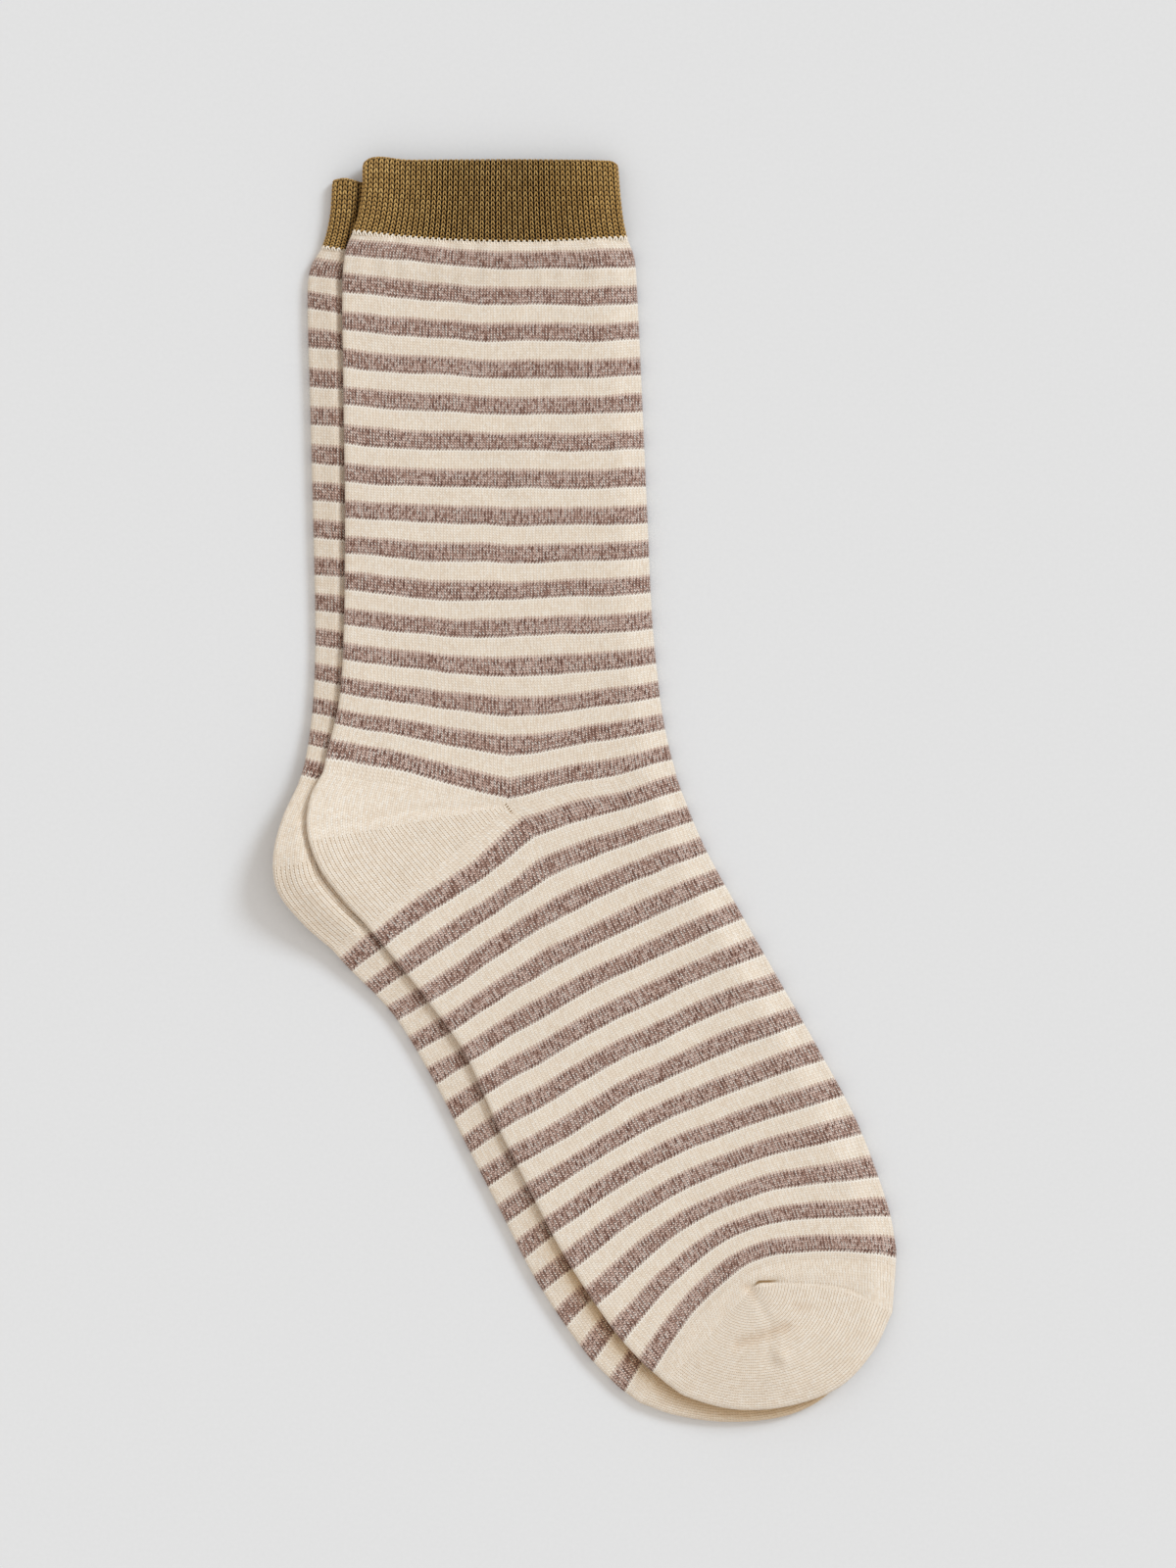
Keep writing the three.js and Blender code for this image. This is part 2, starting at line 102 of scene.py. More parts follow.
# One row is one knitted course across the flattened tube: where it crosses the back or sole
# edge, the middle wale and the front or instep edge. "at" counts stripes along the tube, "kink"
# goes from an even arc to a sharp bend at the middle wale, and "bulge" rounds the front half.
# In a pocket, one row is one place round its outer edge, and "at" goes from 0 to 1.
UPPER = {
    "cuff": table(COURSE, [
        (0, -65.1, 156.0, -26.5, 152.9, 12.1, 154.5, 0, 0),
        (0.3, -63.4, 161.6, -26.5, 159.4, 10.9, 160.4, 0, 0),
        (0.62, -62.4, 168.2, -26.5, 167.2, 10.1, 167.6, 0, 0),
        (0.92, -62.3, 174.6, -26.4, 175.2, 9.6, 174.8, 0, 0),
        (1, -62.1, 176.4, -26.4, 176.9, 9.4, 176.5, 0, 0),
    ]),
    "leg": table(COURSE, [
        (0.4, -64.7, 157.2, -26.5, 154.1, 11.8, 155.7, 0, 0),
        (0.52, -65.1, 156.0, -26.5, 152.9, 12.1, 154.5, 0, 0),
        (1, -66.8, 151.8, -26.5, 148.5, 14.0, 149.2, 0, 0),
        (2, -67.9, 142.2, -26.5, 138.6, 14.8, 139.0, 0, 0),
        (5, -67.6, 110.5, -26.0, 107.9, 16.2, 108.7, 0, 0),
        (8, -67.2, 78.6, -25.0, 76.6, 17.6, 77.6, 0, 0),
        (11, -67.4, 48.7, -24.0, 45.2, 19.0, 47.8, 0.3, 0),
        (13, -68.3, 29.6, -22.0, 23.1, 20.9, 28.4, 0.6, 0),
        (14, -69.6, 20.7, -21.5, 12.1, 22.2, 19.2, 0.8, 0),
        (15, -71.8, 12.0, -21.0, 0.4, 24.1, 10.4, 1, 0),
        (15.5, -73.2, 5.2, -21.0, -4.4, 25.2, 6.5, 1, 0),
    ]),
    "foot": table(COURSE, [
        (0.5, -61.0, -38.1, -21.0, -4.4, 25.2, 6.5, 1, 0),
        (1, -57.8, -41.9, -15.7, -9.6, 26.3, 2.2, 1, 0),
        (3, -45.3, -57.5, -7.0, -32.5, 33.4, -15.4, 0.6, 0),
        (5, -33.7, -73.8, 2.9, -52.8, 43.3, -33.6, 0.2, 0),
        (7, -24.9, -93.2, 13.6, -70.9, 54.6, -53.4, 0, 0),
        (9, -15.3, -112.5, 24.9, -88.8, 65.9, -73.2, 0, 0),
        (11, -5.2, -131.5, 34.8, -106.4, 76.6, -93.5, 0, 0),
        (13, 8.4, -151.8, 42.5, -122.4, 85.1, -116.6, 0.1, 0),
        (14, 16.6, -161.0, 45.8, -130.4, 87.4, -128.2, 0.15, 0),
        (14.27, 18.8, -162.9, 46.2, -133.1, 87.5, -131.6, 0.3, 1),
        (14.85, 22.9, -166.4, 46.6, -139.7, 86.4, -146.8, 1, 4),
    ]),
    "heel": table(TURN, [
        (0, -73.2, 5.2, 0),
        (0.16, -76.7, -1.9, 0),
        (0.35, -77.6, -11.0, 0),
        (0.58, -74.4, -21.3, 0),
        (0.8, -68.1, -30.2, 0),
        (1, -61.0, -38.1, 0),
    ]),
    "toe": table(TURN, [
        (0, 22.9, -166.4, 0),
        (0.1, 28.4, -170.0, 0),
        (0.3, 42.2, -173.6, 0),
        (0.51, 57.5, -172.6, 0),
        (0.69, 71.6, -167.3, 0.5),
        (0.83, 80.6, -158.1, 1.5),
        (1, 86.4, -146.8, 4),
    ]),
}

LOWER = {
    "cuff": table(COURSE, [
        (0, -73.9, 152.2, -35.6, 147.4, 3.0, 149.0, 0, 0),
        (0.3, -72.5, 156.6, -35.6, 153.9, 1.8, 154.9, 0, 0),
        (0.62, -71.4, 162.8, -35.6, 161.7, 1.0, 162.1, 0, 0),
        (0.92, -71.0, 169.2, -35.5, 169.6, 0.5, 169.3, 0, 0),
        (1, -70.8, 171.2, -35.5, 171.4, 0.3, 171.0, 0, 0),
    ]),
    "leg": table(COURSE, [
        (0.4, -73.5, 153.4, -35.6, 148.6, 2.7, 150.2, 0, 0),
        (0.52, -73.9, 152.2, -35.6, 147.4, 3.0, 149.0, 0, 0),
        (1, -76.9, 146.9, -35.6, 143.0, 4.9, 143.7, 0, 0),
        (2, -77.8, 138.2, -35.6, 133.1, 5.7, 133.5, 0, 0),
        (5, -77.0, 105.4, -35.1, 102.4, 6.8, 103.2, 0, 0),
        (8, -76.2, 73.2, -34.1, 71.1, 8.5, 72.1, 0, 0),
        (11, -75.6, 42.8, -33.1, 39.7, 9.9, 42.3, 0.3, 0),
        (13, -76.3, 23.8, -31.1, 17.6, 11.8, 22.9, 0.6, 0),
        (14, -77.3, 14.9, -30.6, 6.6, 13.1, 13.7, 0.8, 0),
        (15, -78.7, 6.8, -30.1, -5.1, 15.0, 4.9, 1, 0),
        (15.5, -80.3, 1.6, -30.1, -9.9, 16.1, 1.0, 1, 0),
    ]),
    "foot": table(COURSE, [
        (0.5, -70.8, -44.9, -30.1, -9.9, 16.1, 1.0, 1, 0),
        (1, -67.1, -49.1, -24.8, -15.1, 17.2, -3.3, 1, 0),
        (3, -53.9, -62.9, -16.1, -38.0, 24.3, -20.9, 0.6, 0),
        (5, -43.0, -80.5, -6.2, -58.3, 34.2, -39.1, 0.2, 0),
        (7, -33.2, -99.7, 4.5, -76.4, 45.5, -58.9, 0, 0),
        (9, -23.2, -119.2, 15.8, -94.3, 56.8, -78.7, 0, 0),
        (11, -13.2, -138.4, 25.7, -111.9, 67.5, -99.0, 0, 0),
        (13, 0.2, -158.0, 33.4, -127.9, 76.0, -122.1, 0.1, 0),
        (14, 9.0, -167.2, 36.7, -135.9, 78.3, -133.7, 0.15, 0),
        (14.27, 11.2, -169.0, 37.1, -138.6, 78.4, -137.1, 0.3, 1),
        (14.85, 15.6, -172.2, 37.5, -145.2, 77.3, -152.3, 1, 4),
    ]),
    "heel": table(TURN, [
        (0, -80.3, 1.6, 0),
        (0.17, -84.7, -8.2, 0),
        (0.36, -87.1, -18.9, 0),
        (0.56, -85.8, -28.6, 0),
        (0.76, -78.9, -37.6, 0),
        (1, -70.8, -44.9, 0),
    ]),
    "toe": table(TURN, [
        (0, 15.6, -172.2, 0),
        (0.16, 25.4, -175.6, 0),
        (0.36, 39.2, -177.5, 0),
        (0.59, 55.4, -176.1, 0),
        (0.73, 66.2, -171.4, 0.5),
        (0.85, 73.0, -163.8, 1.5),
        (1, 77.3, -152.3, 4),
    ]),
}

# Where handling has pulled the stripes of the upper sock along, in courses. Each pull has its
# middle, how many courses it moves them towards the cuff, and how far it spreads.
PULLS = [
    (-52, 149, 1.3, 18),
    (-48, 9, 1.7, 16),
    (-32, -24, -1.9, 16),
    (14, -143, -0.9, 14),
    (-2, -98, -1.0, 16),
    (72, -112, -2.2, 15),
    (46, -131, 0.8, 10),
    (6, 24, 0.6, 16),
    (8, 5, -0.8, 8),
]

# The linking seam that closes the upper sock's toe, and the row of transfer eyelets where its
# heel begins. Along a seam, the places get numbers from its own start.
LINKING_SEAM = [(46.2, -139.8), (48.9, -137.7), (53.5, -137.6), (63.1, -137.9), (69.6, -138.5),
                (75.1, -139.9), (79.3, -142.4), (85.6, -146.2)]
EYELETS = [(-22.2, -3.9), (-20.2, -6.6)]
EYELET_START = 100
NO_SEAM = (-50, 99)

# Creases and snags in the upper sock's pockets, with painted shade along them: a run of points,
# its width and how dark its painted shade is.
CREASES = [
    ([(56.5, -150.3), (49.5, -153.0), (43.0, -155.2)], 1.5, 0.34),
    ([(45.0, -138.6), (47.2, -141.8)], 1.2, 0.26),
    ([(59.4, -144.2), (63.0, -144.6)], 1.2, 0.2),
]


def smooth(low, high, value):
    t = np.clip((value - low) / (high - low), 0, 1)
    return t * t * (3 - 2 * t)


def column(rows, name, at):
    """One column of a table at any "at", along a curve that passes through every row."""
    places, values = rows["at"], rows[name]
    at = np.asarray(at, float)
    slope = np.empty(len(values))
    slope[1:-1] = (values[2:] - values[:-2]) / (places[2:] - places[:-2])
    slope[0] = (values[1] - values[0]) / (places[1] - places[0])
    slope[-1] = (values[-1] - values[-2]) / (places[-1] - places[-2])
    i = np.clip(np.searchsorted(places, at, side="right") - 1, 0, len(places) - 2)
    step = places[i + 1] - places[i]
    t = (at - places[i]) / step
    rise = values[i + 1] - values[i]
    start, end = slope[i], slope[i + 1]
    return (values[i] + t * step * start + t * t * (3 * rise - step * (2 * start + end))
            + t ** 3 * (step * (start + end) - 2 * rise))


def pair_of(rows, name, at):
    return np.stack([column(rows, name + "_x", at), column(rows, name + "_y", at)], -1)


def left_of(direction):
    """Unit vectors a quarter turn to the left of the given ones."""
    turned = np.stack([-direction[..., 1], direction[..., 0]], -1)
    return turned / np.maximum(np.linalg.norm(turned, axis=-1, keepdims=True), 1e-9)


def half_length(rows, at, front):
    """Length of one half of a course, from its edge to the middle wale."""
    edge = pair_of(rows, "front" if front else "back", at)
    return np.linalg.norm(pair_of(rows, "mid", at) - edge, axis=-1)


def on_course(rows, at, front, share):
    """Places on courses. share goes from the edge of that half (0) to the middle wale (1)."""
    back = pair_of(rows, "back", at)
    chord = pair_of(rows, "front", at) - back
    mid = pair_of(rows, "mid", at) - back
    peak = (mid * chord).sum(-1) / (chord * chord).sum(-1)
    bend = mid - chord * peak[..., None]
    along = 1 - share * (1 - peak) if front else share * peak
    c = 4 * (peak - 0.5)
    c = np.where(np.abs(c) < 1e-5, 1e-5, c)
    across = ((1 + c) - np.sqrt((1 + c) ** 2 - 4 * c * along)) / (2 * c)
    kink = np.clip(column(rows, "kink", at), 0, 1)
    height = kink * share + (1 - kink) * 4 * across * (1 - across)
    place = back + chord * along[..., None] + bend * height[..., None]
    if front:
        bulge = np.maximum(column(rows, "bulge", at), 0) * 4 * share * (1 - share)
        place = place + left_of(chord - mid) * bulge[..., None]
    return place


def on_turn(rows, apex, at, share):
    """Places on a pocket. share goes from its outer edge (0) to its apex (1)."""
    ray = pair_of(rows, "edge", at) - apex
    bulge = np.maximum(column(rows, "bulge", at), 0) * 4 * share * (1 - share)
    return apex + ray * (1 - share)[..., None] + left_of(ray) * bulge[..., None]


def fold_profile(length, walk, half_depth, roll, sink=0.0):
    """A walk over the cloth from the fold at an edge (0) to the far end of that half (1).

    Gives the distance in from the edge and the height over the middle of the sock.
    """
    depth = half_depth - sink
    reach = roll - sink
    quarter = depth * math.pi / 2
    gone = walk * (quarter + length - sink - reach)
    angle = np.minimum(gone, quarter) / depth
    inset = sink + reach * (1 - np.cos(angle)) + np.maximum(gone - quarter, 0)
    return inset, depth * np.sin(angle)


def end_of(rows, name):
    return np.array([rows[name + "_x"][-1], rows[name + "_y"][-1]])


def heel_apex(form):
    return end_of(form["leg"], "mid")


def toe_apex(form):
    return end_of(form["foot"], "mid")


def outline(form):
    """The sock's outline from above, as one closed run of points."""
    def walk(part, name, count, backwards=False):
        ends = form[part]["at"][[0, -1]]
        at = np.linspace(ends[1], ends[0], count) if backwards else np.linspace(*ends, count)
        return pair_of(form[part], name, at)

    return np.concatenate([
        walk("cuff", "back", 5, True), walk("leg", "back", 20), walk("heel", "edge", 12),
        walk("foot", "back", 20), walk("toe", "edge", 16), walk("foot", "front", 20, True),
        walk("leg", "front", 20, True), walk("cuff", "front", 5),
    ])


LOWER_OUTLINE = outline(LOWER)
UPPER_OUTLINE = outline(UPPER)


def outside(border, x, y):
    """How far outside a closed outline each place is."""
    nearest = np.full(x.shape, 1e9)
    inside = np.zeros(x.shape, bool)
    for a, b in zip(border, np.roll(border, -1, axis=0)):
        side = b - a
        reach = max(side @ side, 1e-9)
        t = np.clip(((x - a[0]) * side[0] + (y - a[1]) * side[1]) / reach, 0, 1)
        nearest = np.minimum(nearest, np.hypot(x - a[0] - t * side[0], y - a[1] - t * side[1]))
        if a[1] != b[1]:
            crosses = (a[1] > y) != (b[1] > y)
            inside ^= crosses & (x < a[0] + (y - a[1]) / (b[1] - a[1]) * side[0])
    return np.where(inside, 0.0, nearest)


def mound(x, y, centre, height, spread):
    return height * np.exp(-((x - centre[0]) ** 2 + (y - centre[1]) ** 2) / spread ** 2)


def slack(form, x, y):
    """Slack cloth that stands up in the middle of the pockets."""
    toe = toe_apex(form) + (13, -14)
    heel = heel_apex(form) + (-28, -8)
    return mound(x, y, toe, **TOE_SLACK) + mound(x, y, heel, **HEEL_SLACK)


def underside(form, x, y):
    """Height of a sock's underside over the surface."""
    centre = (HEEL_LIFT["x"], HEEL_LIFT["y"])
    lift = mound(x, y, centre, HEEL_LIFT["height"], HEEL_LIFT["spread"])
    if form is LOWER:
        return lift
    stack = 2 * LEG_HALF_DEPTH + STACK_GAP
    cuff_step = 2 * (CUFF_HALF_DEPTH - LEG_HALF_DEPTH) * smooth(139, 146, y)
    drop = OVERHANG_DROP * smooth(1, OVERHANG_REACH, outside(LOWER_OUTLINE, x, y))
    return stack + cuff_step + slack(LOWER, x, y) + lift - drop


def groove(x, y, points, depth, width):
    """A soft valley (or with a negative depth a ridge) along a run of points."""
    nearest = np.full(x.shape, 1e9)
    for (ax, ay), (bx, by) in zip(points, points[1:]):
        dx, dy = bx - ax, by - ay
        t = np.clip(((x - ax) * dx + (y - ay) * dy) / (dx * dx + dy * dy), 0, 1)
        nearest = np.minimum(nearest, np.hypot(x - ax - t * dx, y - ay - t * dy))
    return -depth * np.exp(-(nearest / width) ** 2)


def ripple(x, y, size, seed):
    """Smooth noise between about -0.5 and 0.5, with features of that size."""
    flat = [noise.noise((a / size, b / size, seed)) for a, b in zip(x.ravel(), y.ravel())]
    return np.array(flat).reshape(x.shape)


def relief(form, x, y):
    """Soft unevenness of the cloth that faces up, on top of its slack."""
    if form is LOWER:
        beside = outside(UPPER_OUTLINE, x, y)
        puff = (0.9 + 1.3 * smooth(-60, -30, y)) * smooth(0.3, 2.3, beside)
        return puff - 0.1 + 0.25 * ripple(x, y, 19, 7.3)
    swell = 0.55 * ripple(x, y, 34, 1.7) + 0.3 * ripple(x, y, 13, 4.1)
    under_cuff = smooth(128, 153, y) * smooth(159, 153, y)
    gathers = 0.28 * under_cuff * np.sin(x / 1.15 + 2.5 * ripple(x, y, 9, 2.2))
    toe_x, toe_y = toe_apex(form)
    heel_x, heel_y = heel_apex(form)
    gore = groove(x, y, [(toe_x, toe_y), (49.8, -145.7), (52.3, -149.6), (51.6, -157)], 0.35, 1.4)
    pinch = mound(x, y, (toe_x, toe_y), -0.5, 1.8)
    link = groove(x, y, LINKING_SEAM[:3], 0.8, 1.0) + groove(x, y, LINKING_SEAM[2:], 0.3, 1.0)
    whorl = mound(x, y, (55.2, -158.6), 1.1, 2.0) + mound(x, y, (51.4, -159.4), -0.45, 2.0)
    crease = groove(x, y, CREASES[0][0], 0.7, 1.4)
    heel_gore = groove(x, y, [(heel_x, heel_y), (-48.8, -5.8), (-76.0, -11.4)], 0.3, 1.3)
    ankle = 0.5 * smooth(-12, 22, x) * groove(x, y, [(26, 3), (4, -3)], 0.8, 3.4)
    return swell + gathers + gore + pinch + link + whorl + crease + heel_gore + ankle


def drift(form, x, y):
    """How many courses the knitting is pulled along at each place."""
    moved = 1.1 * ripple(x, y, 22, 11.3) + 0.4 * ripple(x, y, 8, 5.9)
    if form is UPPER:
        for pull_x, pull_y, courses, spread in PULLS:
            moved = moved + mound(x, y, (pull_x, pull_y), courses, spread)
    return moved


def seam_places(form, x, y):
    """Distance along the nearest seam and off to its side, for the few places near one."""
    along = np.full(x.shape, float(NO_SEAM[0]))
    aside = np.full(x.shape, float(NO_SEAM[1]))
    if form is LOWER:
        return np.stack([along, aside], -1)
    nearest = np.full(x.shape, 6.0)
    for seam, start in ((LINKING_SEAM, 0), (EYELETS, EYELET_START)):
        for (ax, ay), (bx, by) in zip(seam, seam[1:]):
            reach = math.hypot(bx - ax, by - ay)
            dx, dy = (bx - ax) / reach, (by - ay) / reach
            ahead = (x - ax) * dx + (y - ay) * dy
            off = (y - ay) * dx - (x - ax) * dy
            past = np.maximum(np.maximum(-ahead, ahead - reach), 0)
            distance = np.hypot(off, past)
            closer = distance < nearest
            nearest = np.where(closer, distance, nearest)
            along = np.where(closer, start + np.clip(ahead, -3, reach + 3), along)
            aside = np.where(closer, off, aside)
            start = start + reach
    return np.stack([along, aside], -1)


def shaded(form, x, y):
    """How much painted ochre shade each place gets: beside the upper sock's edge, and in a crease.
    """
    if form is LOWER:
        near = np.exp(-(outside(UPPER_OUTLINE, x, y) / PAINTED_SHADE_REACH) ** 2)
        return np.stack([near * (1 - 0.85 * smooth(-140, -110, y)), 0 * x], -1)
    crease_shade = 0 * x
    for points, width, dark in CREASES:
        crease_shade = np.maximum(crease_shade, groove(x, y, points, -dark, width))
    return np.stack([0 * x, crease_shade * (0.75 + 0.25 * ripple(x, y, 3.1, 2.3))], -1)


def raised(form, place, inset, level, upper_side):
    """Puts places of a course in space, in metres."""
    x, y = place[..., 0], place[..., 1]
    middle = underside(form, x, y) + LEG_HALF_DEPTH
    if upper_side:
        to_cuff = 0.5 * smooth(142, 151, y)
        rise = slack(form, x, y) + relief(form, x, y) + to_cuff
        level = level + rise * smooth(0, 9, inset)
        z = middle + level
    else:
        z = middle - level
    return np.stack([x, y, z], -1) * MM


def walks(spans):
    """Steps of a walk over half a course: close together round the fold, then even."""
    fold = [0, 0.011, 0.022, 0.034, 0.047]
    return np.array(fold + list(np.linspace(0.047, 1, spans + 1)[1:]))


def course_numbers(form, part, stations, points):
    """Number of the knitted course at each point. Near the toe, the courses fan out."""
    first = FOOT_FIRST_COURSE if part == "foot" else 0
    numbers = np.repeat((first + stations * COURSES_PER_STRIPE)[:, None], points.shape[1], 1)
    if part == "foot":
        last = int(np.searchsorted(stations, FOOT_FAN))
        steps = np.linalg.norm(np.diff(points[last:], axis=0), axis=-1) / (POCKET_COURSE * MM)
        numbers[last + 1:] = numbers[last] + np.cumsum(steps, axis=0)
    return numbers + drift(form, points[..., 0] / MM, points[..., 1] / MM)


def tube_patch(form, part, stations, upper_side, first_wale):
    """One side of a tube as a grid of points with its knitting coordinates."""
    rows = form[part]
    walk = walks(36 if upper_side else 9)
    halves = []
    for front in (False, True):
        length = half_length(rows, stations, front)[:, None]
        inset, level = fold_profile(length, walk[None, :], LEG_HALF_DEPTH, LEG_ROLL)
        at = np.broadcast_to(stations[:, None], inset.shape)
        place = on_course(rows, at, front, inset / length)
        points = raised(form, place, inset, level, upper_side)
        wale = np.broadcast_to(walk * WALES_PER_SIDE / 2, inset.shape)
        halves.append((points, WALES_PER_SIDE - wale if front else wale))
    points = np.concatenate([halves[0][0], halves[1][0][:, -2::-1]], 1)
    wale = np.concatenate([halves[0][1], halves[1][1][:, -2::-1]], 1)
    if not upper_side:
        wale = 2 * WALES_PER_SIDE - wale
    courses = course_numbers(form, part, stations, points)
    return form, points, wale + first_wale, courses, upper_side


def pocket_patch(form, part, apex, stations, upper_side, mitred, first_course):
    """One side of a heel or toe pocket. Its courses count down from below zero."""
    rows = form[part]
    walk = walks(36 if upper_side else 9)
    ray = pair_of(rows, "edge", stations) - apex
    length = np.linalg.norm(ray, axis=-1)[:, None]
    inset, level = fold_profile(length, walk[None, :], LEG_HALF_DEPTH, LEG_ROLL)
    at = np.broadcast_to(stations[:, None], inset.shape)
    place = on_turn(rows, apex, at, inset / length)
    points = raised(form, place, inset, level, upper_side)
    wale = np.broadcast_to(walk * WALES_PER_SIDE / 2, inset.shape)
    courses = first_course + at * TOE_COURSES
    if mitred:
        border_at = 0.0 if stations.mean() < 0.5 else 1.0
        border = pair_of(rows, "edge", border_at) - apex
        reach = np.linalg.norm(border)
        off = place - apex
        forward = (off @ border) / reach
        aside = np.abs(off @ left_of(border))
        straight = (1 - forward / reach) * WALES_PER_SIDE / 2
        near_edge = smooth(0.45, 0.95, 1 - inset / length)
        wale = wale * near_edge + straight * (1 - near_edge)
        courses = first_course + aside / POCKET_COURSE
    if not upper_side:
        wale = 2 * WALES_PER_SIDE - wale
    return form, points, wale, -courses, upper_side


def sock_patches(form):
    heel, toe = heel_apex(form), toe_apex(form)
    leg_at = np.concatenate([np.linspace(LEG_START, LEG_TOP_END, 30),
                             np.linspace(LEG_TOP_END, LEG_END, 102)[1:]])
    foot_at = np.concatenate([np.linspace(FOOT_START, FOOT_FAN, 116),
                              np.linspace(FOOT_FAN, FOOT_END, 14)[1:]])
    gore = 0.42
    patches = []
    for up in (True, False):
        patches.append(tube_patch(form, "leg", leg_at, up, 0))
        patches.append(tube_patch(form, "foot", foot_at, up, FOOT_FIRST_WALE))
        first, second = np.linspace(0, gore, 20), np.linspace(gore, 1, 26)
        patches.append(pocket_patch(form, "heel", heel, first, up, True, HEEL_COURSE))
        patches.append(pocket_patch(form, "heel", heel, second, up, True, HEEL_SECOND_COURSE))
        around = np.concatenate([np.linspace(0, 0.93, 62), np.linspace(0.93, 1, 9)[1:]])
        patches.append(pocket_patch(form, "toe", toe, around, up, False, TOE_COURSE))
    return patches


def add_uv(mesh, name, corners):
    layer = mesh.uv_layers.new(name=name)
    layer.data.foreach_set("uv", np.asarray(corners).ravel().astype(np.float32))


def cloth_mesh(name, patches):
    """Joins patches into one piece of cloth, with knitting coordinates for each corner."""
    points, faces, stitches, seams, painted_shades = [], [], [], [], []
    start = 0
    for form, grid, wale, course, facing_up in patches:
        rows, columns = grid.shape[:2]
        index = start + np.arange(rows * columns).reshape(rows, columns)
        quads = np.stack([index[:-1, :-1], index[1:, :-1], index[1:, 1:], index[:-1, 1:]], -1)
        quads = quads.reshape(-1, 4)
        a, b, c = (grid.reshape(-1, 3)[quads[:, i] - start] for i in (0, 1, 2))
        if (np.cross(b - a, c - a)[:, 2].sum() > 0) != facing_up:
            quads = quads[:, ::-1]
        at_stitch = np.stack([wale, course], -1).reshape(-1, 2)
        x, y = grid[..., 0] / MM, grid[..., 1] / MM
        at_seam = seam_places(form, x, y).reshape(-1, 2)
        at_painted_shade = shaded(form, x, y).reshape(-1, 2)
        points.append(grid.reshape(-1, 3))
        faces.append(quads)
        stitches.append(at_stitch[quads - start].reshape(-1, 2))
        seams.append(at_seam[quads - start].reshape(-1, 2))
        painted_shades.append(at_painted_shade[quads - start].reshape(-1, 2))
        start += rows * columns
    mesh = bpy.data.meshes.new(name)
    mesh.from_pydata(np.concatenate(points), [], np.concatenate(faces).tolist())
    add_uv(mesh, "knit", np.concatenate(stitches))
    add_uv(mesh, "seam", np.concatenate(seams))
    # The painted shade beside the other sock and in creases, as a map of its own.
    add_uv(mesh, "tuck", np.concatenate(painted_shades))
    return finished_piece(mesh, merge=1e-5)


def finished_piece(mesh, merge=0.0):
    """Smooth faces, outward normals and, with a merge distance, joined borders."""
    made = bmesh.new()
    made.from_mesh(mesh)
    if merge:
        bmesh.ops.remove_doubles(made, verts=made.verts, dist=merge)
    else:
        bmesh.ops.recalc_face_normals(made, faces=made.faces)
    for face in made.faces:
        face.smooth = True
    made.to_mesh(mesh)
    made.free()
    piece = bpy.data.objects.new(mesh.name, mesh)
    bpy.context.scene.collection.objects.link(piece)
    return piece


def only(piece):
    bpy.ops.object.select_all(action="DESELECT")
    piece.select_set(True)
    bpy.context.view_layer.objects.active = piece


def apply_modifier(piece, kind, **settings):
    only(piece)
    modifier = piece.modifiers.new(kind.lower(), kind)
    for key, value in settings.items():
        setattr(modifier, key, value)
    bpy.ops.object.modifier_apply(modifier=modifier.name)


def knit_body(form, name):
    """The leg, heel, foot and toe as one run of knitting with a wall of cloth."""
    body = cloth_mesh(name, sock_patches(form))
    apply_modifier(body, "SOLIDIFY", thickness=CLOTH_WALL * MM, offset=-1, use_rim=True)
    return body


def cuff_height(form):
    return form["cuff"]["mid_y"][-1] - form["cuff"]["mid_y"][0]


def cuff_corner(form, x, inset, at):
    """How the top edge of a cuff rises and falls near its back corner."""
    near_top = smooth(0.5, 1, at)
    if form is UPPER:
        rise = 1.1 * np.exp(-((x + 57.5) / 5.0) ** 2)
        return near_top * (rise - 0.9 * np.exp(-(inset / 1.3) ** 2))
    rise = 0.6 * np.exp(-((x + 67.5) / 2.5) ** 2)
    return near_top * (rise - 0.7 * np.exp(-((x + 61.5) / 3.5) ** 2))


def cuff_places(form, rise, round_share, sink):
    """Points of the turned cuff, in metres. rise is the height over the seam, in millimetres.

    round_share goes once round the tube from the back edge. Past the top edge, a larger rise
    turns over the lip and runs down inside.
    """
    rows = form["cuff"]
    height = cuff_height(form)
    flat = height - CUFF_LIP
    turned = np.clip((rise - flat) / CUFF_LIP, 0, math.pi)
    beyond = np.maximum(rise - flat - math.pi * CUFF_LIP, 0)
    lip = CUFF_LIP - sink
    level_up = np.minimum(rise, flat) + lip * np.sin(turned) - beyond
    sink = sink + lip * (1 - np.cos(turned))
    at = level_up / height
    quarter = np.floor(round_share * 4) % 4
    part = (round_share * 4) % 1
    front = (quarter == 1) | (quarter == 2)
    walk = np.where((quarter == 0) | (quarter == 2), part, 1 - part)
    length = np.where(front, half_length(rows, at, True), half_length(rows, at, False))
    inset, level = fold_profile(length, walk, CUFF_HALF_DEPTH, CUFF_ROLL, sink)
    share = inset / length
    place = np.where(front[..., None], on_course(rows, at, True, share),
                     on_course(rows, at, False, share))
    x, y = place[..., 0], place[..., 1]
    y = y + cuff_corner(form, x, inset, at)
    swell = relief(form, x, y) * smooth(0, 9, inset)
    z = underside(form, x, y) + CUFF_HALF_DEPTH + np.where(quarter < 2, level + swell, -level)
    return np.stack([x, y, z], -1) * MM


